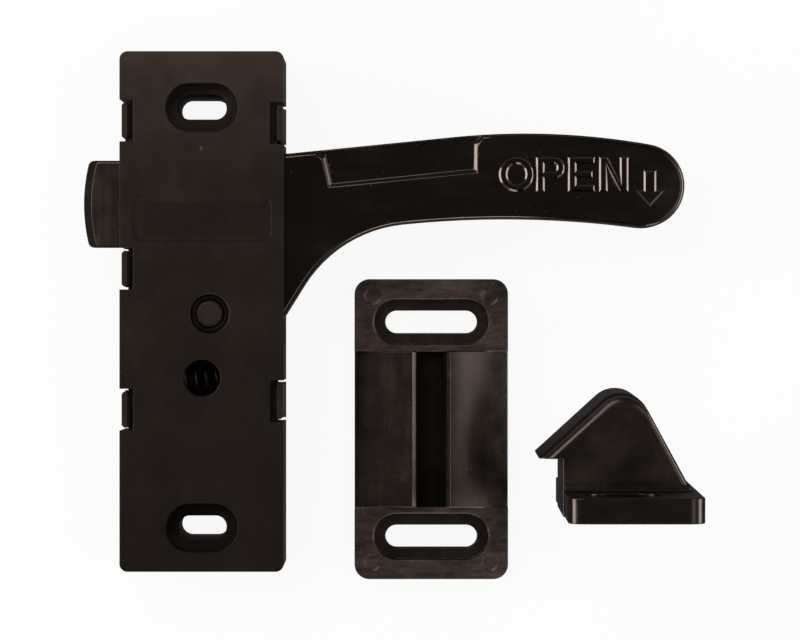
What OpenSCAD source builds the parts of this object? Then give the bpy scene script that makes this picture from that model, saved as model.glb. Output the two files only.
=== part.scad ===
// Screen door latch with its two strikes, in millimetres.
// X runs along the handle, Y runs up the latch and Z runs out from the door.
// The origin lies on the latch's mounting face, midway between its two screw slots.
// The strikes lie beside the latch: one on its back, the other standing on its end.

/* [Latch body] */
// Width of the latch body
body_w = 41; // [40:0.5:44]
// Height of the body above the middle of its screw slots
body_up = 66.5; // [66:0.5:70]
// Height of the body below the middle of its screw slots
body_down = 63.5; // [62:0.5:68]
// Depth from the door to the cover's face
body_d = 22; // [22:0.5:25]
// Corner radius of the body's outline
body_r = 2; // [1:0.25:3]
// Thickness of the housing's side walls
wall_t = 2; // [1.8:0.1:2.4]
// Thickness of the housing's floor
floor_t = 2.5; // [2:0.1:3]
// Thickness of the cover plate
cover_t = 3; // [2.6:0.1:3.2]

/* [Screw slots of the latch] */
// Distance between the two screw slots
slot_pitch = 105; // [103:0.5:107]
// Length of each screw slot
slot_l = 12; // [10:0.25:13]
// Width of each screw slot
slot_w = 5.5; // [5:0.1:6]
// Length of the recess for the screw's head
head_l = 18.1; // [17:0.1:19]
// Width of the recess for the screw's head
head_w = 12.2; // [11:0.1:13]
// Depth of the recess for the screw's head
head_d = 4.5; // [4:0.1:5]

/* [Snap hooks] */
// Length of each hook along the edge
hook_l = 9; // [8:0.25:9.5]
// Thickness of each hook
hook_t = 1.5; // [1.2:0.1:1.7]
// Gap at each end of a hook
hook_gap = 0.7; // [0.5:0.05:0.9]
// How far each hook reaches over its ledge
hook_barb = 0.8; // [0.5:0.05:0.9]
// Depth of the cover's notch round a hook
notch_d = 3.4; // [3.2:0.1:3.8]
// Thickness of the ledge that a hook holds
ledge_t = 1.2; // [1:0.05:1.4]

/* [Cover] */
// Diameter of the hole round the pivot post
eye_dia = 9.6; // [9.4:0.1:10.4]
// Diameter of the hole over the spring
peep_dia = 9.1; // [8:0.1:10]
// Width of the shallow label field
label_w = 34.8; // [30:0.2:36]
// Height of the shallow label field
label_h = 11.5; // [10:0.25:12]
// Depth of the shallow label field
label_d = 0.3; // [0.2:0.05:0.5]

/* [Lever] */
// How far the lever turns, in degrees
lever_turn = 18; // [12:1:18]
// Thickness of the lever
lever_t = 10; // [9:0.25:10.5]
// Diameter of the pivot post
post_dia = 7; // [6.5:0.1:7.2]
// Radius of the lever's hub
hub_r = 8; // [7:0.25:8.5]
// Height of the drive finger's tip above the pivot
finger_h = 27.5; // [26:0.25:28]
// Diameter of the drive finger's tip
finger_dia = 6; // [5:0.1:6.4]
// Radius of the handle's arched upper edge
arch_r = 180; // [150:5:220]
// Radius of the handle's round end
end_r = 10.55; // [10:0.1:11]
// Radius of the inside curve under the handle's root
root_r = 33; // [28:1:38]
// Rounding of the handle's edges
grip_edge = 1.3; // [0.8:0.1:1.8]
// Depth of the shallow field on the handle's face
field_d = 0.9; // [0.6:0.1:1.2]
// Thickness of the walls round the pockets in the handle's back
pocket_wall = 2.4; // [2:0.1:3]
// Thickness of the handle's face over the pockets
face_t = 3.4; // [3:0.1:4]
// Thickness of the ribs between the pockets
rib_t = 1.8; // [1.4:0.1:2.2]

/* [Bolt] */
// Height of the bolt
bolt_h = 21.8; // [20:0.1:22.4]
// Thickness of the bolt
bolt_t = 7.5; // [7:0.1:7.6]
// How far the bolt stands out of the body
bolt_out = 9.5; // [9:0.1:10]
// How far the bolt's nose bulges
nose_bulge = 1.4; // [0.8:0.1:2]
// Width of the bevel along the nose
nose_bevel = 2.1; // [1.5:0.1:2.6]
// Corner radius of the nose
nose_r = 1.5; // [1:0.1:2]
// Rounding along the bolt's long edges
bolt_edge = 0.8; // [0.4:0.1:1.2]

/* [Return spring] */
// Outer diameter of the coil
coil_dia = 7; // [6.6:0.1:7.4]
// Thickness of the wire
wire_dia = 0.9; // [0.7:0.05:1]
// Number of turns
coil_turns = 8; // [6:1:9]

/* [Channel strike] */
// Width of the strike
strike_w = 39; // [38:0.5:41]
// Length of both strikes
strike_l = 76.2; // [75:0.2:78]
// Thickness of the end slabs
slab_t = 6; // [5.5:0.1:6.4]
// Length of the raised middle
middle_l = 39.5; // [38:0.25:40.5]
// Height of the crown at the middle
crown_h = 8.3; // [7.8:0.1:8.6]
// Radius of the crown
crown_r = 42; // [38:1:50]
// Width of the channel
channel_w = 7.9; // [7.8:0.1:8.6]
// Height of the channel's floor
channel_floor = 2.2; // [1.8:0.1:2.8]
// How far each wall of the channel leans in towards the floor
channel_lean = 1.1; // [0.6:0.1:1.4]
// Distance between the screw slots of both strikes
strike_pitch = 54.5; // [53:0.25:55]
// Length of the channel strike's screw slots
strike_slot_l = 23.3; // [20:0.1:24]
// Width of the strikes' screw slots
strike_slot_w = 5.7; // [5:0.1:6]
// Length of the recess round those slots
strike_head_l = 29.4; // [28:0.1:30]
// Width of the recess round those slots
strike_head_w = 11.7; // [11:0.1:12]
// Depth of the recess round those slots
strike_head_d = 2.6; // [2:0.1:3]
// Diameter of the ejector marks
mark_dia = 4.2; // [3.6:0.1:4.6]
// Depth of the ejector marks
mark_d = 0.25; // [0.1:0.05:0.4]

/* [Ramp strike] */
// Width of the base
base_w = 32.4; // [32:0.1:34]
// Thickness of the base
base_t = 6.1; // [5.6:0.1:6.4]
// Length of the ramp along the strike
ramp_len = 33; // [31:0.5:35]
// Height of the hook's underside above the door frame
hook_h = 14; // [13.5:0.25:15]
// How far the hook's lip reaches past the base
lip_out = 6.4; // [5.5:0.1:6.8]
// Slope of the ramp, in degrees
ramp_slope = 42.4; // [40:0.2:45]
// Slope of the ridge's back, in degrees
back_slope = 62; // [58:0.5:65]
// Radius of the ridge's top
ridge_r = 7; // [6:0.1:8]
// Rounding at the two ends of the ramp
ramp_round = 3.2; // [2.6:0.1:3.4]
// Rounding at the two ends of the ridge's back
back_round = 1.2; // [0.8:0.1:1.6]
// Radius of the fillet where the ridge's ends meet the base
foot_r = 1.6; // [1:0.1:2]
// Length of the ramp strike's screw slots
ramp_slot_l = 12; // [11:0.25:13]

/* [Hidden] */
$fn = 64;

// Clearances: a running fit, a sliding fit and free air beside moving pieces.
run_fit = 0.07;
slide_fit = 0.25;
air = 0.3;
over = 0.5;

// Levels of the latch, from the door outwards.
cover_z = body_d - cover_t;
lever_top = cover_z - 1;
lever_z = lever_top - lever_t;
mid_z = (lever_z + lever_top) / 2;
bolt_z = mid_z - bolt_t / 2;
bolt_top = mid_z + bolt_t / 2;
cup_z = body_d - head_d - 1.5;
ledge_top = cover_z + ledge_t;
hook_top = body_d - 0.5;

// Places on the latch, seen from the front.
pivot = [1.95, 0.95];
peep = [0.1, pivot[1] - 16.05];
label_at = [0, 24.75];
hooks_left = [49.2, 12.2, -23];
hooks_right = [48.6, -20.9];
hook_inset_left = 0.5;
hook_inset_right = 0.15;
slot_ys = [-slot_pitch / 2, slot_pitch / 2];

// Bolt: it spans the finger's tip, and its slot clears the finger at every angle.
bolt_y = pivot[1] + finger_h + 0.05;
bolt_low = bolt_y - bolt_h / 2;
bolt_high = bolt_y + bolt_h / 2;
bolt_tip = -body_w / 2 - bolt_out;
bolt_rear = pivot[0] + finger_dia / 2 + air + 3.2;
nose_big_r = (pow(bolt_h / 2, 2) + pow(nose_bulge, 2)) / (2 * nose_bulge);
finger_neck = finger_dia - 1;
bolt_travel = finger_h * sin(lever_turn);

// Handle: an arched bar with a round end, and a sloping root that runs on into the body.
top_slope = 5.7;
crest = [81, 46.2];
arch_c = crest - [0, arch_r];
end_angle = 80;
end_c = arch_c + (arch_r - end_r) * [cos(end_angle), sin(end_angle)];
low_crest = [76, 24.8];
low_dx = end_c[0] - low_crest[0];
low_dy = end_c[1] - low_crest[1];
low_r = (low_dx * low_dx + low_dy * low_dy - end_r * end_r) / (2 * (end_r - low_dy));
low_c = low_crest - [0, low_r];
low_angle = atan2(end_c[1] - low_c[1], end_c[0] - low_c[0]);
slope = 58;
slope_at = [23.75, 5.2];
slope_dir = [cos(slope), sin(slope)];
slope_side = [sin(slope), -cos(slope)];
root_d = slope_at + root_r * slope_side - low_c;
root_b = root_d * slope_dir;
root_t = -root_b + sqrt(root_b * root_b - root_d * root_d + pow(low_r - root_r, 2));
root_c = low_c + root_d + root_t * slope_dir;
root_angle = atan2(root_c[1] - low_c[1], root_c[0] - low_c[0]);
root_x = 16.5;

// Lever inside the body.
gusset_x = 13;
tail_x = 7;
tail_low = peep[1] - 3.5;
seat_x = -12;
seat_nub = coil_dia - 2 * wire_dia - 0.8;

// Strikes beside the latch.
strike_at = [57.5, -28.35];
strike_corner = 3.8;
mark_in = [4.6, 4.3];
ramp_at = [89.2, -46.65];
ramp_lean = 1.55;
ramp_foot = base_w - 1.85;
ramp_proud = 0.35;
ramp_slot_shift = -2.7;

function arc(c, r, a0, a1, n) =
    [for (i = [0:n]) c + r * [cos(a0 + (a1 - a0) * i / n), sin(a0 + (a1 - a0) * i / n)]];

// Height of the handle's straight upper edge at x, moved in by e.
function top_y(x, e = 0) =
    let (t = arch_c + arch_r * [-sin(top_slope), cos(top_slope)])
    t[1] - (t[0] - x) * tan(top_slope) - e / cos(top_slope);

// Height of the sloping lower edge of the handle's root at x, moved in by e.
function slope_y(x, e = 0) = slope_at[1] + (x - slope_at[0]) * tan(slope) + e / cos(slope);

// Outline of the handle, moved in by e, clockwise from the root's upper corner.
function grip_outline(e) = concat(
    [[root_x, top_y(root_x, e)]],
    arc(arch_c, arch_r - e, 90 + top_slope, end_angle, 14),
    [for (p = arc(end_c, end_r - e, end_angle, low_angle - 180, 22)) if (p[0] > end_c[0] - end_r) p],
    arc(low_c, low_r + e, low_angle + 0.6, root_angle - 0.3, 12),
    arc(root_c, root_r + e, root_angle, 90 + slope, 12),
    [[root_x, slope_y(root_x, e)]]
);

// Outline of the bolt with its bulging nose.
function bolt_outline() =
    let (
        big = [bolt_tip + nose_big_r, bolt_y],
        dy = bolt_h / 2 - nose_r,
        dx = sqrt(pow(nose_big_r - nose_r, 2) - dy * dy),
        swing = atan2(dy, dx)
    )
    concat(
        [[bolt_rear, bolt_low], [bolt_rear, bolt_high]],
        arc(big + [-dx, dy], nose_r, 90, 180 - swing, 6),
        arc(big, nose_big_r, 180 - swing + 1, 180 + swing - 1, 14),
        arc(big + [-dx, -dy], nose_r, 180 + swing, 270, 6)
    );

// A slot's outline: length runs along x, with round ends.
module stadium(l, w) {
    square([l - w, w], center = true);
    for (s = [-1, 1])
        translate([s * (l - w) / 2, 0])
            circle(d = w);
}

// A rectangle with round corners, from its middle.
module round_box(w, h, r) {
    square([w - 2 * r, h], center = true);
    square([w, h - 2 * r], center = true);
    for (x = [-1, 1], y = [-1, 1])
        translate([x * (w / 2 - r), y * (h / 2 - r)])
            circle(r);
}

// Outline of the latch body, moved in by e.
module body_outline(e = 0) {
    translate([0, (body_up - body_down) / 2])
        round_box(body_w - 2 * e, body_up + body_down - 2 * e, max(body_r - e, 0.5));
}

// A box between two opposite corners.
module span(a, b) {
    translate(a)
        cube(b - a);
}

// A round hole with an eased upper rim.
module eased_hole(at, d, z0, z1, ease) {
    translate([at[0], at[1], z0 - over])
        cylinder(d = d, h = z1 - z0 + 2 * over);
    translate([at[0], at[1], z1 - ease])
        cylinder(d1 = d, d2 = d + 2 * ease + 2 * over, h = ease + over);
}

// Puts its children at every snap hook, with x running in from the body's edge.
module at_hooks() {
    for (y = hooks_left)
        translate([-body_w / 2, y, 0])
            let ($inset = hook_inset_left)
                children();
    for (y = hooks_right)
        translate([body_w / 2, y, 0])
            mirror([1, 0, 0])
                let ($inset = hook_inset_right)
                    children();
}

module snap_hook() {
    c = 0.6;
    inner = $inset + hook_t;
    linear_extrude(hook_top)
        polygon([
            [$inset, c - hook_l / 2], [$inset + c, -hook_l / 2], [inner, -hook_l / 2],
            [inner, hook_l / 2], [$inset + c, hook_l / 2], [$inset, hook_l / 2 - c]
        ]);
    barb_z = ledge_top + 0.05;
    rotate([90, 0, 0])
        linear_extrude(hook_l - 1, center = true)
            polygon([
                [inner - 0.2, barb_z], [inner + hook_barb, barb_z],
                [inner + hook_barb, barb_z + 0.35], [inner - 0.2, hook_top]
            ]);
}

module housing_tray() {
    difference() {
        linear_extrude(cover_z)
            body_outline();
        translate([0, 0, floor_t])
            linear_extrude(body_d)
                body_outline(wall_t);
        // Window for the bolt.
        span(
            [-body_w / 2 - over, bolt_low - slide_fit, bolt_z - slide_fit],
            [-body_w / 2 + wall_t + over, bolt_high + slide_fit, body_d]
        );
        // Window for the lever.
        span(
            [body_w / 2 - wall_t - over, slope_y(body_w / 2) - 6.8, lever_z - slide_fit],
            [body_w / 2 + over, top_y(body_w / 2) + slide_fit, body_d]
        );
        // Openings in the walls round the hooks.
        at_hooks()
            span(
                [-over, -hook_l / 2 - hook_gap, floor_t],
                [wall_t + 0.1, hook_l / 2 + hook_gap, body_d]
            );
        // Slits beside the hooks, down through the floor.
        at_hooks()
            for (s = [-1, 1])
                translate([wall_t / 2 - over, s * (hook_l + hook_gap) / 2, 0])
                    cube([wall_t + 2 * over, hook_gap, 3 * floor_t], center = true);
    }
}

module pivot_post() {
    rim = 0.9;
    top = body_d - 0.8;
    r = post_dia / 2;
    translate([pivot[0], pivot[1], floor_t - over]) {
        cylinder(r = hub_r - 0.8, h = lever_z - slide_fit - floor_t + over);
        rotate_extrude() {
            square([r - rim, top - floor_t + over]);
            square([r, top - floor_t + over - rim]);
            translate([r - rim, top - floor_t + over - rim])
                intersection() {
                    circle(rim);
                    square(rim);
                }
        }
    }
}

module bolt_guides() {
    left = -body_w / 2 + wall_t;
    rail_top = cover_z - 0.2;
    // Rails above and below the bolt.
    span([left - over, bolt_high + slide_fit, floor_t - over], [bolt_rear, bolt_high + slide_fit + 2, rail_top]);
    span([left + 2, bolt_low - slide_fit - 2, floor_t - over], [-4.5, bolt_low - slide_fit, rail_top]);
    // Ribs behind the bolt.
    for (s = [-1, 1])
        span(
            [left - over, bolt_y + s * bolt_h * 0.3 - 1, floor_t - over],
            [bolt_rear, bolt_y + s * bolt_h * 0.3 + 1, bolt_z - slide_fit]
        );
}

module spring_seat() {
    span([seat_x - 2.2, peep[1] - 5, floor_t - over], [seat_x, peep[1] + 5, mid_z + coil_dia / 2]);
    translate([seat_x - 1, peep[1], mid_z])
        rotate([0, 90, 0])
            cylinder(d = seat_nub, h = 3);
    // A cradle under the coil.
    span(
        [seat_x - 1, peep[1] - 1, floor_t - over],
        [tail_x - 7, peep[1] + 1, mid_z - coil_dia / 2 - air]
    );
}

module floor_ribs() {
    side = body_w / 2 - wall_t + over;
    for (y = [slot_ys[0] + 14, slot_ys[0] + 21])
        span([-side, y - 0.75, floor_t - over], [side, y + 0.75, floor_t + 2.5]);
}

module housing() {
    color([0.13, 0.11, 0.1])
        difference() {
            union() {
                housing_tray();
                for (y = slot_ys)
                    translate([0, y, floor_t - over])
                        linear_extrude(cup_z - floor_t + over)
                            stadium(slot_l + 5, slot_w + 5);
                pivot_post();
                bolt_guides();
                spring_seat();
                floor_ribs();
                at_hooks()
                    snap_hook();
            }
            for (y = slot_ys)
                translate([0, y, -over])
                    linear_extrude(body_d)
                        stadium(slot_l, slot_w);
        }
}

module cover_tongues() {
    // Over the bolt, in the bolt's window.
    span(
        [-body_w / 2, bolt_low, bolt_top + slide_fit],
        [-body_w / 2 + wall_t + 1, bolt_high, cover_z + over]
    );
    // Over the lever, in the lever's window.
    span(
        [body_w / 2 - wall_t, slope_y(body_w / 2) - 6.6, lever_top + slide_fit],
        [body_w / 2, top_y(body_w / 2) - 0.1, cover_z + over]
    );
    // Ribs over the bolt.
    for (s = [-1, 1])
        span(
            [-body_w / 2 + wall_t + 0.5, bolt_y + s * bolt_h * 0.3 - 1, bolt_top + slide_fit],
            [bolt_rear, bolt_y + s * bolt_h * 0.3 + 1, cover_z + over]
        );
    // Locating ribs at both ends of the plate.
    for (y = [-body_down + wall_t + 0.2, body_up - wall_t - 1.4])
        span([-12, y, cover_z - 2], [12, y + 1.2, cover_z + over]);
}

module cover_plate() {
    color([0.19, 0.16, 0.14])
        difference() {
            union() {
                translate([0, 0, cover_z])
                    linear_extrude(cover_t)
                        body_outline();
                for (y = slot_ys)
                    translate([0, y, cup_z])
                        linear_extrude(cover_z - cup_z + over)
                            stadium(head_l + 3, head_w + 3);
                cover_tongues();
            }
            for (y = slot_ys)
                translate([0, y, cup_z - over]) {
                    linear_extrude(body_d)
                        stadium(slot_l + 0.2, slot_w + 1.2);
                    translate([0, 0, 1.5 + over])
                        linear_extrude(body_d)
                            stadium(head_l, head_w);
                }
            eased_hole(pivot, eye_dia, cover_z - over, body_d, 0.35);
            eased_hole(peep, peep_dia, cover_z - over, body_d, 0.25);
            translate([label_at[0], label_at[1], body_d - label_d])
                linear_extrude(over + label_d)
                    round_box(label_w, label_h, 2.5);
            at_hooks() {
                span(
                    [-over, -hook_l / 2 - hook_gap, cover_z - over],
                    [$inset + hook_t + 0.1, hook_l / 2 + hook_gap, body_d + over]
                );
                span(
                    [-over, -hook_l / 2 - hook_gap, ledge_top],
                    [notch_d, hook_l / 2 + hook_gap, body_d + over]
                );
            }
        }
}

// A closed skin over a row of rings that all have the same number of points.
module skin(rings) {
    n = len(rings[0]);
    m = len(rings);
    polyhedron(
        points = [for (ring = rings) each ring],
        faces = concat(
            [[for (i = [0:n - 1]) (n - i) % n]],
            [[for (i = [0:n - 1]) (m - 1) * n + i]],
            [for (k = [0:m - 2]) for (i = [0:n - 1]) let (j = (i + 1) % n)
                [k * n + i, k * n + j, (k + 1) * n + j, (k + 1) * n + i]]
        ),
        convexity = 10
    );
}

// Steps of a rounded edge of radius r: how far the outline draws in, and the height, from a face.
function edge_steps(r, n) =
    [for (k = [0:n]) [r * (1 - sin(90 * k / n)), r * (1 - cos(90 * k / n))]];

// The handle outside the body, over outlines that draw in towards both faces.
module grip() {
    low = edge_steps(grip_edge, 4);
    skin(concat(
        [for (s = low) [for (p = grip_outline(s[0])) [p[0], p[1], lever_z + s[1]]]],
        [for (k = [len(low) - 1:-1:0])
            [for (p = grip_outline(low[k][0])) [p[0], p[1], lever_top - low[k][1]]]]
    ));
}

// A cutter for the handle's face, with sloping walls between two outlines.
module face_cut(floor_points, face_points) {
    hull() {
        translate([0, 0, lever_top - field_d])
            linear_extrude(0.01)
                polygon(floor_points);
        translate([0, 0, lever_top + 0.01])
            linear_extrude(over)
                polygon(face_points);
    }
}

// The shallow field on the handle's face, open at the upper edge, where its two ends flare.
module grip_field() {
    far = crest[1] + 6;
    face_cut(
        [[28.1, far], [32.5, 33.4], [68.1, 37.1], [68.1, far]],
        [[27.2, far], [31.7, 32.7], [69.1, 36.4], [69.1, far]]
    );
    face_cut(
        [[67, 43.5], [68.1, 43.5], [70.5, far], [67, far]],
        [[67, 43], [69.1, 43], [75.7, far], [67, far]]
    );
    face_cut(
        [[32, 40.6], [30.8, 40.6], [24, far], [32, far]],
        [[32, 39.7], [29.9, 39.7], [13.4, far], [32, far]]
    );
}

// Pockets in the handle's back, between cross ribs.
module grip_pockets() {
    start = body_w / 2 + 7;
    bays = 5;
    bay = (end_c[0] + end_r - pocket_wall - start) / bays;
    difference() {
        translate([0, 0, lever_z - over])
            linear_extrude(lever_t - face_t + over)
                intersection() {
                    polygon(grip_outline(pocket_wall));
                    translate([start, 0])
                        square([bays * bay + 1, crest[1]]);
                }
        for (k = [1:bays - 1])
            span(
                [start + k * bay - rib_t / 2, 0, lever_z - 2 * over],
                [start + k * bay + rib_t / 2, crest[1] + 1, lever_top]
            );
    }
}

// The lever inside the body: hub, gusset and tail.
module lever_core() {
    translate([0, 0, lever_z])
        linear_extrude(lever_t) {
            translate(pivot)
                circle(hub_r);
            polygon([
                [root_x + 0.7, top_y(root_x + 0.7) - grip_edge - 0.3],
                [gusset_x, top_y(gusset_x) - grip_edge - 1.5],
                [gusset_x, pivot[1] + 15],
                pivot + [-2, hub_r - 3],
                [tail_x, peep[1] + 4.5],
                [tail_x, tail_low],
                [(tail_low - slope_y(0, 0.4)) / tan(slope), tail_low],
                [root_x + 0.7, slope_y(root_x + 0.7, grip_edge + 0.2)]
            ]);
        }
}

module drive_finger() {
    translate([pivot[0], pivot[1], bolt_z + 0.4])
        linear_extrude(bolt_t - 0.8) {
            translate([-finger_neck / 2, 0])
                square([finger_neck, finger_h]);
            translate([0, finger_h])
                circle(d = finger_dia);
        }
}

module lever_handle() {
    color([0.07, 0.055, 0.045])
        difference() {
            union() {
                grip();
                lever_core();
                drive_finger();
                // Collar that turns in the cover's eye.
                translate([pivot[0], pivot[1], mid_z])
                    cylinder(d = eye_dia - 2 * run_fit, h = body_d - 1.8 - mid_z);
                // Nub that keeps the spring on the tail.
                translate([tail_x - 2, peep[1], mid_z])
                    rotate([0, 90, 0])
                        cylinder(d = seat_nub, h = 3);
            }
            translate([pivot[0], pivot[1], lever_z - over])
                cylinder(d = post_dia + 2 * run_fit, h = body_d);
            grip_field();
            grip_pockets();
        }
}

module latch_bolt() {
    big_x = bolt_tip + nose_big_r;
    drop = nose_bevel * 1.2;
    half = finger_dia / 2 + air;
    flare = (finger_h - bolt_h / 2) * tan(lever_turn) - bolt_travel;
    color([0.17, 0.15, 0.135])
        difference() {
            intersection() {
                translate([0, 0, bolt_z])
                    linear_extrude(bolt_t)
                        polygon(bolt_outline());
                translate([bolt_tip - 1, bolt_y, mid_z])
                    rotate([90, 0, 90])
                        linear_extrude(bolt_rear - bolt_tip + 2)
                            round_box(bolt_h, bolt_t, bolt_edge);
                translate([big_x, bolt_y, bolt_z]) {
                    r = nose_big_r + 0.02;
                    cylinder(r1 = r - nose_bevel, r2 = r, h = drop, $fn = 128);
                    translate([0, 0, drop])
                        cylinder(r = r, h = bolt_t - 2 * drop, $fn = 128);
                    translate([0, 0, bolt_t - drop])
                        cylinder(r1 = r, r2 = r - nose_bevel, h = drop, $fn = 128);
                }
            }
            // Slot for the finger, which leans to the left as the bolt draws in.
            translate([pivot[0], bolt_y, bolt_z - over])
                linear_extrude(bolt_t + 2 * over) {
                    circle(half);
                    polygon([
                        [-half, 0], [half, 0], [half, -bolt_h],
                        [flare - half - 0.3, -bolt_h], [flare - half - 0.3, -bolt_h / 2], [-half, -2]
                    ]);
                }
        }
}

// Coil spring along X, with a closed turn at each end.
module return_spring() {
    sides = 8;
    steps = 16;
    wire = wire_dia / 2;
    r = coil_dia / 2 - wire;
    x0 = seat_x + wire + 0.03;
    length = tail_x - seat_x - wire_dia - 0.06;
    closed = wire_dia + 0.05;
    open = (length - 2 * closed) / (coil_turns - 2);
    n = coil_turns * steps;
    color([0.6, 0.6, 0.6])
        skin([
            for (i = [0:n])
                let (
                    u = i / steps,
                    x = x0 + closed * min(u, 1) + open * min(max(u - 1, 0), coil_turns - 2)
                        + closed * max(u - coil_turns + 1, 0),
                    out = [0, cos(360 * u), sin(360 * u)]
                )
                [for (k = [0:sides - 1]) let (a = 360 * k / sides)
                    [x, peep[1], mid_z] + (r + wire * cos(a)) * out + [wire * sin(a), 0, 0]]
        ]);
}

// The shallow round mark that an ejector leaves in a face at a height.
module ejector_mark(at, z) {
    translate([at[0], at[1], z - mark_d])
        cylinder(d1 = mark_dia - 2 * mark_d, d2 = mark_dia + 2 * over, h = mark_d + over);
}

module channel_strike() {
    mouth = channel_w / 2;
    lead = 1.3;
    color([0.12, 0.1, 0.09])
        translate([strike_at[0], strike_at[1], 0])
            difference() {
                union() {
                    // Slabs at both ends.
                    intersection() {
                        linear_extrude(slab_t)
                            round_box(strike_w, strike_l, strike_corner);
                        for (s = [-1, 1])
                            translate([0, s * (middle_l + strike_l) / 4, slab_t / 2])
                                cube([strike_w + 1, (strike_l - middle_l) / 2 + 0.02, slab_t + 1], center = true);
                    }
                    // Crowned middle.
                    intersection() {
                        translate([-strike_w / 2, -middle_l / 2, 0])
                            cube([strike_w, middle_l, crown_h + 1]);
                        translate([0, 0, crown_h - crown_r])
                            rotate([90, 0, 0])
                                cylinder(r = crown_r, h = middle_l + 2, center = true, $fn = 128);
                    }
                }
                // Channel between the crowned blocks, with sloping lead-in edges.
                rotate([90, 0, 0])
                    linear_extrude(middle_l, center = true)
                        polygon([
                            [-mouth + channel_lean, channel_floor], [mouth - channel_lean, channel_floor],
                            [mouth, crown_h - lead], [mouth + 2 * lead, crown_h + lead],
                            [-mouth - 2 * lead, crown_h + lead], [-mouth, crown_h - lead]
                        ]);
                for (s = [-1, 1])
                    translate([0, s * strike_pitch / 2, -over]) {
                        linear_extrude(slab_t + 2 * over)
                            stadium(strike_slot_l, strike_slot_w);
                        translate([0, 0, slab_t - strike_head_d + over])
                            linear_extrude(slab_t)
                                stadium(strike_head_l, strike_head_w);
                    }
                for (x = [-1, 1], y = [-1, 1])
                    ejector_mark([x * (strike_w / 2 - mark_in[0]), y * (strike_l / 2 - mark_in[1])], slab_t);
                for (y = [-1, 1])
                    ejector_mark([0, y * middle_l * 0.31], channel_floor);
            }
}

// Distance of the ridge's sloping back from the base's left edge, at a height.
function back_u(v) = ramp_foot - (v - base_t) / tan(back_slope);

// Outline across the ridge, clockwise from the corner under its hook, with the ramp moved in by q
// and the back moved in by e.
function ridge_outline(q, e) =
    let (
        rise = tan(ramp_slope),
        run = 1 / cos(ramp_slope),
        ramp_v = hook_h + lip_out * rise - q * run,
        nx = sin(back_slope),
        ny = cos(back_slope),
        back = ramp_foot * nx + base_t * ny - e - ridge_r,
        cx = (back - ny * (ramp_v - ridge_r * run)) / (nx + ny * rise),
        cy = ramp_v - ridge_r * run + rise * cx,
        tip = (hook_h - ramp_v) / rise + 0.3,
        foot = base_t - over
    )
    concat(
        [[-ramp_proud, hook_h], [tip, hook_h], [tip, hook_h + 0.3 * rise]],
        arc([cx, cy], ridge_r, 90 + ramp_slope, 90 - back_slope, 12),
        [[back_u(foot) - e / nx, foot], [-ramp_proud, foot]]
    );

// How far an edge of radius r has drawn in, at a height h from its face.
function edge_in(r, h) = h < r ? r - sqrt(r * r - pow(r - h, 2)) : 0;

// The ridge with its hook: its ends round off towards the ramp and the back.
module ridge(z0, z1) {
    steps = 7;
    ends = [for (k = [0:steps]) ramp_round * (1 - cos(90 * k / steps))];
    rings = concat(
        [for (h = ends) [z0 + h, h]],
        [for (k = [steps:-1:0]) [z1 - ends[k], ends[k]]]
    );
    skin([
        for (ring = rings)
            [for (p = ridge_outline(edge_in(ramp_round, ring[1]), edge_in(back_round, ring[1])))
                [p[0], p[1], ring[0]]]
    ]);
}

// Fillets where the ridge meets the base, at both ends and along its back.
module ridge_fillets(z0, z1) {
    toe = foot_r / 2;
    intersection() {
        linear_extrude(strike_l)
            polygon([
                [0, base_t - over], [back_u(base_t - over), base_t - over],
                [back_u(base_t + foot_r), base_t + foot_r], [0, base_t + foot_r]
            ]);
        for (s = [-1, 1])
            translate([0, 0, s < 0 ? z0 : z1])
                mirror([0, 0, s < 0 ? 1 : 0])
                    rotate([90, 0, 90])
                        linear_extrude(base_w)
                            difference() {
                                translate([base_t - over, -over])
                                    square(foot_r + over);
                                translate([base_t + foot_r, foot_r])
                                    circle(foot_r);
                            }
    }
    translate([0, 0, z0 + back_round])
        linear_extrude(z1 - z0 - 2 * back_round)
            polygon([
                [ramp_foot - 2, base_t - over], [ramp_foot + toe, base_t - over], [ramp_foot + toe, base_t],
                [back_u(base_t + 2 * toe), base_t + 2 * toe], [ramp_foot - 2, base_t + 2 * toe]
            ]);
}

// The hollow under the ridge, in two bays with a rib between them.
module ridge_hollow(z0, z1) {
    wall = 3;
    roof = hook_h + 6;
    bay = (z1 - z0 - 3 * wall) / 2;
    for (s = [-1, 1])
        translate([0, 0, strike_l / 2 + s * (wall + bay) / 2])
            linear_extrude(bay, center = true)
                polygon([
                    [wall, -over], [back_u(base_t) - 1.3 * wall, -over],
                    [back_u(base_t) - 1.3 * wall, base_t], [back_u(roof) - 1.3 * wall, roof],
                    [2.5 * wall, roof], [wall, hook_h - 2]
                ]);
}

module ramp_strike() {
    z0 = (strike_l - ramp_len) / 2;
    z1 = (strike_l + ramp_len) / 2;
    color([0.1, 0.085, 0.075])
        translate([ramp_at[0], ramp_at[1], 0])
            rotate([ramp_lean, 0, 0])
                difference() {
                    union() {
                        translate([base_w / 2, base_t, strike_l / 2])
                            rotate([90, 0, 0])
                                linear_extrude(base_t)
                                    round_box(base_w, strike_l, strike_corner);
                        span([-ramp_proud, 0, z0], [over, base_t, z1]);
                        ridge(z0, z1);
                        ridge_fillets(z0, z1);
                    }
                    for (s = [-1, 1])
                        translate([base_w / 2 + ramp_slot_shift, base_t, strike_l / 2 + s * strike_pitch / 2])
                            rotate([90, 0, 0])
                                translate([0, 0, -over]) {
                                    linear_extrude(base_t + 2 * over)
                                        stadium(ramp_slot_l, strike_slot_w);
                                    linear_extrude(strike_head_d + over)
                                        stadium(head_l, strike_head_w);
                                }
                    ridge_hollow(z0, z1);
                }
}

housing();
cover_plate();
lever_handle();
latch_bolt();
return_spring();
channel_strike();
ramp_strike();
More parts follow.
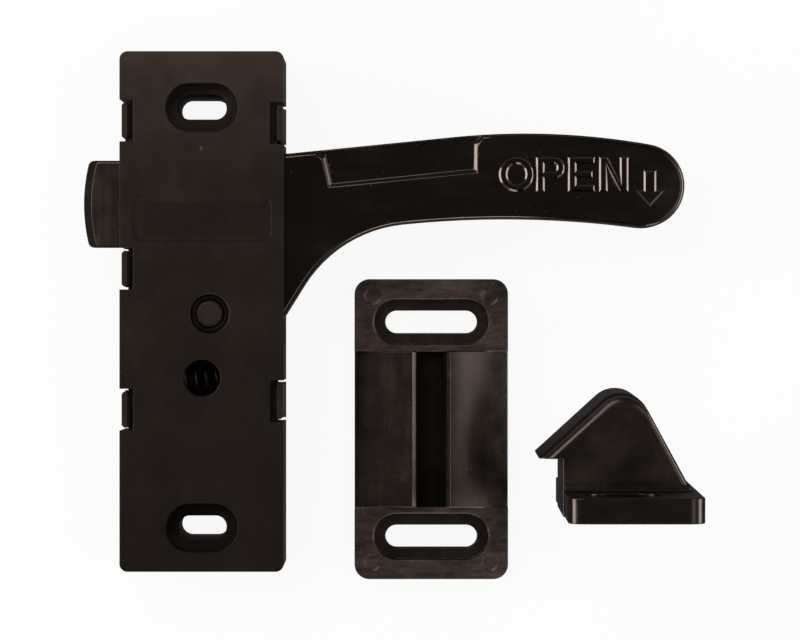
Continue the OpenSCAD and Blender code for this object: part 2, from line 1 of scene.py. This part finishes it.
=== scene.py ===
"""Screen door latch with a channel strike and a ramp strike, seen from above on a white table."""

import math

import bpy
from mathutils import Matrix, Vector


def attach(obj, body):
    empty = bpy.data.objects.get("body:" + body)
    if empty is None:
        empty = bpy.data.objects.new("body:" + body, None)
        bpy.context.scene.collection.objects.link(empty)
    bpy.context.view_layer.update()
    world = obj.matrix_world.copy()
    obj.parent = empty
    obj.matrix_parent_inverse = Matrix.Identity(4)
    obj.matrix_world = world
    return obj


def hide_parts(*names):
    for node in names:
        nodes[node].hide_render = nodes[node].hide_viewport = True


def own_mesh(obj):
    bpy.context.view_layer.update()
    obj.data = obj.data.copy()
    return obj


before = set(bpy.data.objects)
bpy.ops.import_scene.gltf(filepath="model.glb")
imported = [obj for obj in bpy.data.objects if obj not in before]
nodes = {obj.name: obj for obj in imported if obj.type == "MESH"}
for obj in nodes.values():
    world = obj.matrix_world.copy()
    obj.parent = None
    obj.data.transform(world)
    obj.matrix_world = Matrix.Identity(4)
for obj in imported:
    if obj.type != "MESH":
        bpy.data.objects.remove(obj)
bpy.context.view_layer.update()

MM = 0.001


# Node helpers.

# Sockets of the Mix node for each type of data: its two inputs and its output.
MIX_SOCKETS = {"RGBA": (6, 7, 2), "VECTOR": (4, 5, 1)}


class Nodes:
    """A short way to write a node tree: add nodes, set their sockets and join them."""

    def __init__(self, tree):
        self.tree = tree
        tree.nodes.clear()

    def add(self, kind, inputs=None, **settings):
        node = self.tree.nodes.new(kind)
        for name, value in settings.items():
            setattr(node, name, value)
        for key, value in (inputs or {}).items():
            self.put(node.inputs[key], value)
        return node

    def put(self, socket, value):
        if isinstance(value, bpy.types.NodeSocket):
            self.tree.links.new(value, socket)
        elif isinstance(value, bpy.types.Node):
            self.tree.links.new(value.outputs[0], socket)
        else:
            socket.default_value = value

    def math(self, operation, a, b=0.0):
        return self.add("ShaderNodeMath", {0: a, 1: b}, operation=operation).outputs[0]

    def times(self, a, b):
        return self.math("MULTIPLY", a, b)

    def vector(self, operation, a, b=(0.0, 0.0, 0.0)):
        return self.add("ShaderNodeVectorMath", {0: a, 1: b}, operation=operation)

    def split(self, vector):
        """The X, Y and Z of a vector."""
        return self.add("ShaderNodeSeparateXYZ", {0: vector}).outputs

    def mix(self, factor, a, b, kind="RGBA"):
        """A mix of two colours, or of two vectors."""
        first, second, result = MIX_SOCKETS[kind]
        return self.add(
            "ShaderNodeMix", {0: factor, first: a, second: b}, data_type=kind
        ).outputs[result]

    def ramp(self, value, low, high, out_low=0.0, out_high=1.0):
        """Maps a value from one range to another, and holds it there."""
        return self.add(
            "ShaderNodeMapRange", {0: value, 1: low, 2: high, 3: out_low, 4: out_high}
        ).outputs[0]

    def noise(self, where, scale, detail=4.0, roughness=0.55):
        return self.add(
            "ShaderNodeTexNoise",
            {"Vector": where, "Scale": scale, "Detail": detail, "Roughness": roughness},
        ).outputs[0]

    def stretched(self, where, scale, turn=0.0):
        return self.add(
            "ShaderNodeMapping", {"Vector": where, "Scale": scale, "Rotation": (0.0, 0.0, turn)}
        ).outputs[0]

    def near(self, where, centre, low, high):
        """1 at a place, falling to 0 between two distances from it, in millimetres from above."""
        flat = self.vector("MULTIPLY", where, (1.0, 1.0, 0.0))
        place = (centre[0] * MM, centre[1] * MM, 0.0)
        gap = self.vector("DISTANCE", flat, place).outputs["Value"]
        return self.ramp(gap, low * MM, high * MM, 1.0, 0.0)

    def inside(self, where, low, high, soft):
        """1 between two corners, falling to 0 over a soft border, in millimetres from above."""
        parts = self.split(where)
        share = None
        for axis in range(2):
            for edge, way in ((low[axis], 1.0), (high[axis], -1.0)):
                side = self.ramp(parts[axis], edge * MM, (edge + way * soft) * MM)
                share = side if share is None else self.times(share, side)
        return share


def new_material(name):
    material = bpy.data.materials.new(name)
    material.use_nodes = True
    return material, Nodes(material.node_tree)


# Plastic. Noises are scale, detail and roughness.

CLOUDS = (55.0, 6.0, 0.62)
STREAKS = (1.0, 4.0, 0.6)
STREAKS_Z = 120.0
FINE_GRAIN = (2400.0, 3.0, 0.7)
GRAIN_DEPTH = 0.0001
DUST_CELLS = 430.0
DUST_SPREAD = (160.0, 1.0, 0.4)
DUST_LEVEL = 0.1
SCUFFS = (480.0, 8.0, 0.75)
PATCHES = (110.0, 3.0, 0.5)
WORN_SHARE = 0.6
WORN_LIGHTER = 4.0
WALL_BLEND = 0.05
# Painted shade on side walls: its share, and its grey as a part of the dark grey.
WALL_SHADE_SHARE = 0.6
WALL_SHADE_LEVEL = 0.4
WALL_ROUGH = 0.85
SHEEN_TINT = (1.0, 0.82, 0.72, 1.0)


def grey(level):
    """A dark neutral with the warm cast of this plastic."""
    return (level, level * 0.74, level * 0.64, 1.0)


def plastic(
    name, dark, light, rough, grain=0.1, flow=(700.0, 60.0), wear_and_sheen=0.2, dust=0.2,
    shine=0.5, side=0.1, turn=0.66, marks_and_light=None, form=None,
):
    """Moulded black plastic: cloudy, with flow marks, scuffs, dust and grain, and matt side walls
    painted darker as shade.

    dark and light are levels of grey, rough the range of roughness, flow the fineness of the flow
    marks along X and Y, shine and side the strength of reflections on faces and on side walls, turn
    the upward part of the normal where a face becomes a side wall, marks_and_light a function that
    adds marks, painted light and painted shade to the colour, and form a function that gives an even
    normal and the dull places of a shape, which are painted with shade like the side walls.
    """
    material, n = new_material(name)
    where = n.add("ShaderNodeTexCoord").outputs["Object"]
    cloud = n.noise(where, *CLOUDS)
    streak = n.noise(n.stretched(where, (*flow, STREAKS_Z)), *STREAKS)
    fine = n.noise(where, *FINE_GRAIN)
    speck = n.add("ShaderNodeTexVoronoi", {"Vector": where, "Scale": DUST_CELLS}, feature="F1")
    spread = n.noise(where, *DUST_SPREAD)
    dusty = n.times(n.ramp(speck.outputs[0], 0.16, 0.06), n.ramp(spread, 0.58, 0.68))
    scuff = n.noise(where, *SCUFFS)
    patch = n.noise(where, *PATCHES)
    patches = n.times(n.ramp(patch, 0.4, 0.65), n.ramp(scuff, 0.45, 0.75))
    worn = n.times(n.ramp(cloud, 0.42, 0.66), n.ramp(streak, 0.35, 0.75))
    worn = n.math("ADD", n.times(worn, WORN_SHARE), n.times(patches, WORN_SHARE))
    colour = n.mix(n.ramp(cloud, 0.32, 0.68), grey(dark), grey(light))
    colour = n.mix(n.times(worn, wear_and_sheen), colour, grey(WORN_LIGHTER * light))
    colour = n.mix(n.times(dusty, dust), colour, grey(DUST_LEVEL))
    if marks_and_light:
        colour = marks_and_light(n, where, cloud, colour)
    normal = n.add("ShaderNodeNewGeometry").outputs["Normal"]
    upright = n.split(normal)[2]
    steep = n.ramp(n.math("ABSOLUTE", upright), turn + WALL_BLEND, turn - WALL_BLEND)
    if form:
        normal, dull_and_shaded = form(n, where, normal, upright)
        steep = n.math("MAXIMUM", steep, dull_and_shaded)
    # Painted shade: side walls and dull places are painted darker than the faces.
    colour = n.mix(n.times(steep, WALL_SHADE_SHARE), colour, grey(WALL_SHADE_LEVEL * dark))
    patchy = n.math("ADD", n.times(cloud, 0.5), n.times(streak, 0.5))
    gloss = n.ramp(patchy, 0.35, 0.65, *rough)
    gloss = n.math("MAXIMUM", gloss, n.times(steep, WALL_ROUGH))
    bump = n.add(
        "ShaderNodeBump",
        {"Strength": grain, "Distance": GRAIN_DEPTH, "Height": fine, "Normal": normal},
    )
    shader = n.add(
        "ShaderNodeBsdfPrincipled",
        {
            "Base Color": colour, "Roughness": gloss, "Normal": bump,
            "Specular IOR Level": n.ramp(steep, 0.0, 1.0, shine, side),
            "Specular Tint": SHEEN_TINT,
        },
    )
    n.add("ShaderNodeOutputMaterial", {"Surface": shader})
    return material


# Marks, painted light and painted shade on the cover. Places, the radius and the border are in
# millimetres, the ranges along Y and the label's wave in metres. The gate's place is given after
# its shape has scaled Y.

COVER_EJECTORS = ((-12.4, 59.9), (14.1, 59.4))
EJECTOR_RADIUS = 2.6
# Ranges along Y where the upper end is painted lighter as painted light, and the lower end darker as
# painted shade.
UPPER_PAINTED_LIGHT = (0.036, 0.067)
LOWER_PAINTED_SHADE = (0.01, -0.06)
LABEL = ((-12.5, 22.3), (18.5, 31.6))
LABEL_BORDER = 0.5
LABEL_WAVE = (0.004, 0.004, 0.0)
GATE = (-0.1, 25.3)
GATE_SHAPE = (1.0, 0.6, 1.0)


def ring(n, where, cloud, colour, centre, radius, level):
    """A faint ring where an ejector has pressed, in millimetres."""
    outer = n.near(where, centre, radius - 0.1, radius + 0.35)
    inner = n.near(where, centre, radius - 0.9, radius - 0.3)
    share = n.times(n.math("SUBTRACT", outer, inner), n.ramp(cloud, 0.3, 0.7, 0.1, 0.5))
    return n.mix(share, colour, grey(level))


def cover_marks_and_light(n, where, cloud, colour):
    """Two ejector rings, painted light on the upper end, painted shade on the lower end, a label's
    shadow and the gate.
    """
    for centre in COVER_EJECTORS:
        colour = ring(n, where, cloud, colour, centre, EJECTOR_RADIUS, 0.035)
    height = n.split(where)[1]
    # Painted light: the upper end is lighter, as light falls from the top; painted shade: the lower
    # end is darker.
    painted_light = n.times(n.ramp(height, *UPPER_PAINTED_LIGHT), n.ramp(cloud, 0.3, 0.65, 0.35, 1.0))
    colour = n.mix(painted_light, colour, grey(0.041))
    colour = n.mix(n.ramp(height, *LOWER_PAINTED_SHADE, 0.0, 0.5), colour, grey(0.003))
    wavy = n.vector("ADD", where, n.vector("MULTIPLY", cloud, LABEL_WAVE))
    label = n.inside(wavy, *LABEL, LABEL_BORDER)
    colour = n.mix(n.times(label, 0.45), colour, grey(0.004))
    gate = n.near(n.stretched(where, GATE_SHAPE), GATE, 0.15, 0.55)
    return n.mix(n.times(gate, 0.6), colour, grey(0.1))


# Painted sheen on the lever: the middle and reach of each sheen in millimetres, and its level of
# grey.

PAINTED_SHEENS = (((28.5, 17.0), 8.0, 0.011), ((118.0, 30.0), 11.0, 0.009))


def lever_painted_sheen(n, where, cloud, colour):
    """Painted sheen, soft and lighter, beside the inner curve and on the end of the handle."""
    for centre, reach, level in PAINTED_SHEENS:
        sheen = n.times(n.near(where, centre, 1.0, reach), n.ramp(cloud, 0.3, 0.7, 0.2, 0.9))
        colour = n.mix(sheen, colour, grey(level))
    return colour


# The channel strike, in metres. The start of the slabs and the end of the crown are distances along
# Y from its middle. The slabs' top, the crown's foot and the floors are ranges of height.

STRIKE_MIDDLE = (0.0575, -0.02835)
SLAB_START = (0.0196, 0.0199)
SLAB_TOP = (0.0054, 0.0057)
CROWN_END = (0.0197, 0.0195)
CROWN_FOOT = (0.003, 0.0032)
CROWN_RADIUS = 0.0402
# Heights below which the channel's floor is painted darker as shade, and where its dull floor
# starts, painted with the side walls' shade too.
CHANNEL_PAINTED_SHADE = (0.0036, 0.0026)
DULL_SHADED_FLOOR = (0.0034, 0.003)

# The upward part of the normal where the crown starts, the fineness of the marks on the slabs, and
# a finger mark's place in millimetres and turn in radians.

CROWN_UPRIGHT = (0.83, 0.87)
SLAB_MARKS = (130.0, 480.0, 90.0)
FINGER_MARK = (45.0, -38.0)
FINGER_TURN = 0.9


def strike_place(n, where):
    """The X, Y and Z of a place on the channel strike, and its distance along Y from the middle."""
    parts = n.split(where)
    return parts, n.math("ABSOLUTE", n.math("SUBTRACT", parts[1], STRIKE_MIDDLE[1]))


def strike_marks_and_shade(n, where, cloud, colour):
    """Lighter slabs with marks across them, a finger mark, and painted shade darkening the channel.
    """
    parts, along = strike_place(n, where)
    across = n.noise(n.stretched(where, SLAB_MARKS), 1.0, 6.0, 0.7)
    slab = n.times(n.ramp(along, *SLAB_START), n.ramp(parts[2], *SLAB_TOP))
    slab = n.times(slab, n.ramp(cloud, 0.36, 0.6, 0.3, 1.0))
    colour = n.mix(n.times(slab, n.ramp(across, 0.38, 0.64, 0.15, 1.0)), colour, grey(0.085))
    lines = n.add(
        "ShaderNodeTexWave",
        {
            "Vector": n.stretched(where, (1.0, 1.0, 1.0), FINGER_TURN), "Scale": 560.0,
            "Distortion": 5.0, "Detail": 2.0, "Detail Scale": 0.4,
        },
    ).outputs["Fac"]
    touched = n.times(n.near(where, FINGER_MARK, 2.0, 9.5), n.ramp(lines, 0.3, 0.9, 0.0, 0.6))
    colour = n.mix(touched, colour, grey(0.03))
    # Painted shade: the channel's floor is darker, as shade falls there.
    return n.mix(n.ramp(parts[2], *CHANNEL_PAINTED_SHADE, 0.0, 0.8), colour, grey(0.018))


def strike_form(n, where, normal, upright):
    """The round crown of the two blocks, and the dull floor of the channel, which the plastic also
    darkens as painted shade.
    """
    parts, along = strike_place(n, where)
    on_crown = n.times(n.ramp(along, *CROWN_END), n.ramp(parts[2], *CROWN_FOOT))
    on_crown = n.times(on_crown, n.ramp(upright, *CROWN_UPRIGHT))
    across = n.math("SUBTRACT", parts[0], STRIKE_MIDDLE[0])
    crown = n.add("ShaderNodeCombineXYZ", {0: across, 2: CROWN_RADIUS})
    crown = n.vector("NORMALIZE", crown)
    return n.mix(on_crown, normal, crown, "VECTOR"), n.ramp(parts[2], *DULL_SHADED_FLOOR)


# Marks on the ramp strike: ranges along Y, in metres.

BASE_DARK = (-0.0405, -0.0415)
BAND_START = (-0.041, -0.0395)
BAND_END = (-0.034, -0.038)


def ramp_marks(n, where, cloud, colour):
    """A darker base, and a scuffed band above its fillet."""
    height = n.split(where)[1]
    colour = n.mix(n.ramp(height, *BASE_DARK, 0.0, 0.8), colour, grey(0.0025))
    band = n.times(n.ramp(height, *BAND_START), n.ramp(height, *BAND_END))
    return n.mix(n.times(band, n.ramp(cloud, 0.4, 0.7, 0.0, 0.7)), colour, grey(0.035))


# Steel of the spring: the fineness of its drawn marks, and its colours, darkened as painted shade
# since the wire sits in shade in its hole.

DRAWN = (300.0, 900.0, 900.0)
STEEL_SHADED_DARK = (0.05, 0.04, 0.035, 1.0)
STEEL_SHADED_LIGHT = (0.13, 0.1, 0.085, 1.0)


def spring_steel(name):
    material, n = new_material(name)
    where = n.add("ShaderNodeTexCoord").outputs["Object"]
    drawn = n.noise(n.stretched(where, DRAWN), 1.0, 3.0)
    shader = n.add(
        "ShaderNodeBsdfPrincipled",
        {
            "Base Color": n.mix(drawn, STEEL_SHADED_DARK, STEEL_SHADED_LIGHT), "Metallic": 1.0,
            "Roughness": n.ramp(drawn, 0.2, 0.8, 0.45, 0.65),
        },
    )
    n.add("ShaderNodeOutputMaterial", {"Surface": shader})
    return material


# Dressing of the pieces, by modifiers only.

SMOOTH_ANGLE = math.radians(32)
FLAT_ANGLE = math.radians(0.3)
EASE_ANGLE = math.radians(35)
EASE_SEGMENTS = 3
JOIN_GAP = 2e-6
WELD_GAP = 0.005 * MM
FLAT_WEIGHT = 100


def shading_group():
    """A node group that joins the mesh, drops stored normals and shades gentle edges smooth."""
    group = bpy.data.node_groups.new("smooth_shading", "GeometryNodeTree")
    for way in ("INPUT", "OUTPUT"):
        group.interface.new_socket("Geometry", in_out=way, socket_type="NodeSocketGeometry")
    n = Nodes(group)
    start = n.add("NodeGroupInput")
    bare = n.add("GeometryNodeRemoveAttribute", {"Geometry": start, "Name": "custom_normal"})
    merged = n.add("GeometryNodeMergeByDistance", {"Geometry": bare, "Distance": JOIN_GAP})
    smooth = n.add(
        "GeometryNodeSetShadeSmooth", {"Geometry": merged, "Shade Smooth": True}, domain="FACE"
    )
    edge = n.add("GeometryNodeInputMeshEdgeAngle")
    soft = n.add(
        "FunctionNodeCompare", {0: edge, 1: SMOOTH_ANGLE}, data_type="FLOAT", operation="LESS_EQUAL"
    )
    split = n.add(
        "GeometryNodeSetShadeSmooth", {"Geometry": smooth, "Shade Smooth": soft}, domain="EDGE"
    )
    n.add("NodeGroupOutput", {0: split})
    return group


SMOOTH = shading_group()


def dress(node, material, edge=0.0, slide=False):
    """Gives a piece its material, smooth shading, eased edges and even flat faces."""
    node.data.materials.clear()
    node.data.materials.append(material)
    node.modifiers.new("smooth", "NODES").node_group = SMOOTH
    if edge:
        flat = node.modifiers.new("flat", "DECIMATE")
        flat.decimate_type = "DISSOLVE"
        flat.angle_limit = FLAT_ANGLE
        ease = node.modifiers.new("ease", "BEVEL")
        ease.width = edge * MM
        ease.segments = EASE_SEGMENTS
        ease.limit_method = "ANGLE"
        ease.angle_limit = EASE_ANGLE
        ease.use_clamp_overlap = False
        ease.loop_slide = slide
        ease.harden_normals = True
        node.modifiers.new("clean", "WELD").merge_threshold = WELD_GAP
    even = node.modifiers.new("even", "WEIGHTED_NORMAL")
    even.weight = FLAT_WEIGHT
    even.keep_sharp = True


COVER = plastic(
    "cover_plastic", 0.0095, 0.014, (0.48, 0.6), grain=0.3, flow=(300.0, 40.0),
    wear_and_sheen=0.16, dust=0.15, shine=0.16, marks_and_light=cover_marks_and_light,
)
HOUSING = plastic(
    "housing_plastic", 0.013, 0.019, (0.4, 0.55), grain=0.2, wear_and_sheen=0.15, dust=0.1, shine=0.3,
)
LEVER = plastic(
    "lever_plastic", 0.0014, 0.0024, (0.08, 0.26), grain=0.02, flow=(60.0, 300.0),
    wear_and_sheen=0.12, dust=0.7, shine=0.75, side=0.25, turn=0.71, marks_and_light=lever_painted_sheen,
)
# The bolt's lighter worn patches are raised so that they also stand in for soft highlights on its
# face: wear and painted sheen.
BOLT = plastic(
    "bolt_plastic", 0.012, 0.02, (0.2, 0.34), grain=0.08,
    wear_and_sheen=0.5, shine=0.65, side=0.02, turn=0.86,
)
STRIKE = plastic(
    "strike_plastic", 0.006, 0.015, (0.18, 0.3), grain=0.12, flow=(260.0, 40.0),
    wear_and_sheen=0.7, dust=0.6, shine=0.7, marks_and_light=strike_marks_and_shade, form=strike_form,
)
RAMP = plastic(
    "ramp_plastic", 0.004, 0.011, (0.17, 0.3), grain=0.1, flow=(130.0, 130.0),
    wear_and_sheen=0.6, dust=0.2, shine=0.55, side=0.07, marks_and_light=ramp_marks,
)
STEEL = spring_steel("spring_steel")

dress(nodes["cover_plate"], COVER, 0.2)
dress(nodes["housing"], HOUSING, 0.15)
dress(nodes["lever_handle"], LEVER, 0.25, slide=True)
dress(nodes["latch_bolt"], BOLT, 0.25)
dress(nodes["channel_strike"], STRIKE, 0.25)
dress(nodes["ramp_strike"], RAMP, 0.25)


# The spring: a steel copy of the imported one, carried with the latch, while the imported one is
# hidden.

spring = bpy.data.objects.new("coil_spring", nodes["return_spring"].data.copy())
bpy.context.scene.collection.objects.link(spring)
dress(spring, STEEL)
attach(spring, "latch")
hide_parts("return_spring")
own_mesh(spring)


# Raised lettering on the lever, in millimetres: a plain word and an arrow.

FACE_Z = 18.0
LETTER_H = 8.7
LETTER_Y = 31.55
STROKE = 2.15
BAR = 1.75
RISE = 0.5
SLOPE = 0.44
FLATTENED = 0.84
SHAFT_W = 3.1
ARROW_LOW, ARROW_NECK, ARROW_HIGH = -3.75, 0.35, 5.3


def arc(centre, radii, start, end, steps=10):
    """Points along a part of an ellipse, with angles in degrees."""
    angles = [math.radians(start + (end - start) * i / steps) for i in range(steps + 1)]
    return [
        (centre[0] + radii[0] * math.cos(a), centre[1] + radii[1] * math.sin(a)) for a in angles
    ]


def letter_o(width):
    middle = (width / 2, LETTER_H / 2)
    hole = (middle[0] - STROKE, middle[1] - BAR)
    return [arc(middle, radii, 0, 354, 59) for radii in (middle, hole)]


def letter_p(width):
    bowl = LETTER_H * 0.31
    top = LETTER_H - bowl
    hole = bowl - BAR
    centre = (width - bowl, top)
    outer = [(0, 0), (STROKE, 0), (STROKE, top - bowl)]
    outer += arc(centre, (bowl, bowl), -90, 90) + [(0, LETTER_H)]
    inner = [(STROKE, top - hole)]
    inner += arc(centre, (bowl - STROKE, hole), -90, 90) + [(STROKE, top + hole)]
    return [outer, inner]


def letter_e(width):
    low, high = LETTER_H / 2 - BAR / 2, LETTER_H / 2 + BAR / 2
    top = LETTER_H - BAR
    short = width * 0.92
    return [[
        (0, 0), (width, 0), (width, BAR), (STROKE, BAR), (STROKE, low), (short, low),
        (short, high), (STROKE, high), (STROKE, top), (width, top), (width, LETTER_H), (0, LETTER_H),
    ]]


def letter_n(width):
    slant = LETTER_H * 0.36
    right = width - STROKE
    return [[
        (0, 0), (STROKE, 0), (STROKE, LETTER_H - slant), (right, 0), (width, 0),
        (width, LETTER_H), (right, LETTER_H), (right, slant), (STROKE, LETTER_H), (0, LETTER_H),
    ]]


def arrow(width):
    left, right = (width - SHAFT_W) / 2, (width + SHAFT_W) / 2
    return [[
        (width / 2, ARROW_LOW), (width, ARROW_NECK), (right, ARROW_NECK), (right, ARROW_HIGH),
        (left, ARROW_HIGH), (left, ARROW_NECK), (0, ARROW_NECK),
    ]]


def raised(name, outlines, left):
    """A raised shape on the lever's face, with sloping edges."""
    data = bpy.data.curves.new(name, "CURVE")
    data.dimensions = "2D"
    data.fill_mode = "BOTH"
    data.bevel_depth = SLOPE * MM
    data.bevel_resolution = 0
    data.offset = -SLOPE * MM
    data.extrude = (RISE - SLOPE) * MM
    for outline in outlines:
        spline = data.splines.new("POLY")
        spline.points.add(len(outline) - 1)
        spline.use_cyclic_u = True
        spline.use_smooth = False
        for point, (x, y) in zip(spline.points, outline):
            point.co = (x * MM, y * MM, 0.0, 1.0)
    data.materials.append(LEVER)
    piece = bpy.data.objects.new(name, data)
    piece.location = (left * MM, LETTER_Y * MM, FACE_Z * MM)
    piece.scale = (1.0, 1.0, FLATTENED)
    bpy.context.scene.collection.objects.link(piece)
    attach(piece, "lever")


raised("letter_o", letter_o(8.8), 74.35)
raised("letter_p", letter_p(7.3), 83.65)
raised("letter_e", letter_e(6.8), 91.65)
raised("letter_n", letter_n(7.35), 99.45)
raised("arrow", arrow(7.5), 108.45)


# Stage, in metres: a white table, a dim room and soft lamps.

TABLE_SIZE = 6.0
TABLE_PLACE = (0.05, 0.0, -0.0002)
TABLE_GREY = (0.95, 0.95, 0.95, 1.0)
WHITE_SEEN = 0.92
WHITE_MIRRORED = 0.6
WHITE = (1.0, 1.0, 1.0, 1.0)
WARM = (1.0, 0.95, 0.9)

# Light of the room by direction along X, Y and Z: from, to, and the strengths there.
ROOM_X = (-0.7, 0.9, 0.7, 1.0)
ROOM_Y = (0.1, 0.8, 1.0, 0.3)
ROOM_Z = (0.1, 0.42, 1.4, 0.1)

# Each lamp's name, place, size and watts.
LAMPS = (
    ("lamp_left", (-0.85, 0.0, 0.27), (0.9, 0.34), 9.0),
    ("lamp_right", (0.95, 0.0, 0.2), (0.9, 0.26), 5.0),
    ("lamp_front", (0.1, -0.85, 0.25), (0.9, 0.3), 3.5),
    ("lamp_back", (-0.2, 0.33, 0.55), (0.5, 0.2), 1.4),
    ("lamp_above", (0.54, 0.0, 0.83), (0.9, 0.34), 1.4),
)
LAMP_AIM = Vector((0.05, 0.0, 0.0))


def white_table():
    """White for the camera and in reflections, and paper that takes a faint shadow."""
    bpy.ops.mesh.primitive_plane_add(size=TABLE_SIZE, location=TABLE_PLACE)
    table = bpy.context.object
    table.name = "table"
    material, n = new_material("table_white")
    path = n.add("ShaderNodeLightPath").outputs
    mirrored = n.math("MAXIMUM", path["Is Glossy Ray"], path["Is Transmission Ray"])
    seen = n.times(path["Is Camera Ray"], WHITE_SEEN)
    share = n.math("MAXIMUM", seen, n.times(mirrored, WHITE_MIRRORED))
    paper = n.add("ShaderNodeBsdfDiffuse", {"Color": TABLE_GREY})
    glow = n.add("ShaderNodeEmission", {"Color": WHITE, "Strength": 1.0})
    both = n.add("ShaderNodeMixShader", {0: share, 1: paper, 2: glow})
    n.add("ShaderNodeOutputMaterial", {"Surface": both})
    table.data.materials.append(material)


def dim_room():
    """A room that is light near the horizon and dim above and towards the back."""
    world = bpy.data.worlds.new("room")
    bpy.context.scene.world = world
    world.use_nodes = True
    n = Nodes(world.node_tree)
    parts = n.split(n.add("ShaderNodeTexCoord").outputs["Generated"])
    level = n.times(n.ramp(parts[0], *ROOM_X), n.ramp(parts[1], *ROOM_Y))
    level = n.times(level, n.ramp(parts[2], *ROOM_Z))
    sky = n.add("ShaderNodeBackground", {"Color": (*WARM, 1.0), "Strength": level})
    n.add("ShaderNodeOutputWorld", {"Surface": sky})


def soft_lamp(name, place, size, power):
    data = bpy.data.lights.new(name, "AREA")
    data.shape = "RECTANGLE"
    data.size, data.size_y = size
    data.energy = power
    data.color = WARM
    lamp = bpy.data.objects.new(name, data)
    lamp.location = place
    lamp.rotation_euler = (LAMP_AIM - Vector(place)).to_track_quat("-Z", "Y").to_euler()
    bpy.context.scene.collection.objects.link(lamp)


white_table()
dim_room()
for lamp_values in LAMPS:
    soft_lamp(*lamp_values)


# Camera: straight down, as in the photograph.

HEIGHT = 950 * MM
WIDTH = 204.4 * MM
MIDDLE = (49.55 * MM, -0.62 * MM)
SENSOR = 36.0

camera_data = bpy.data.cameras.new("camera")
camera_data.sensor_fit = "HORIZONTAL"
camera_data.sensor_width = SENSOR
camera_data.lens = SENSOR * HEIGHT / WIDTH
camera_data.clip_start = 0.01
camera = bpy.data.objects.new("camera", camera_data)
camera.location = (*MIDDLE, HEIGHT)
camera.rotation_euler = (0.0, 0.0, 0.0)
bpy.context.scene.collection.objects.link(camera)
bpy.context.scene.camera = camera

bpy.context.scene.view_settings.view_transform = "Standard"
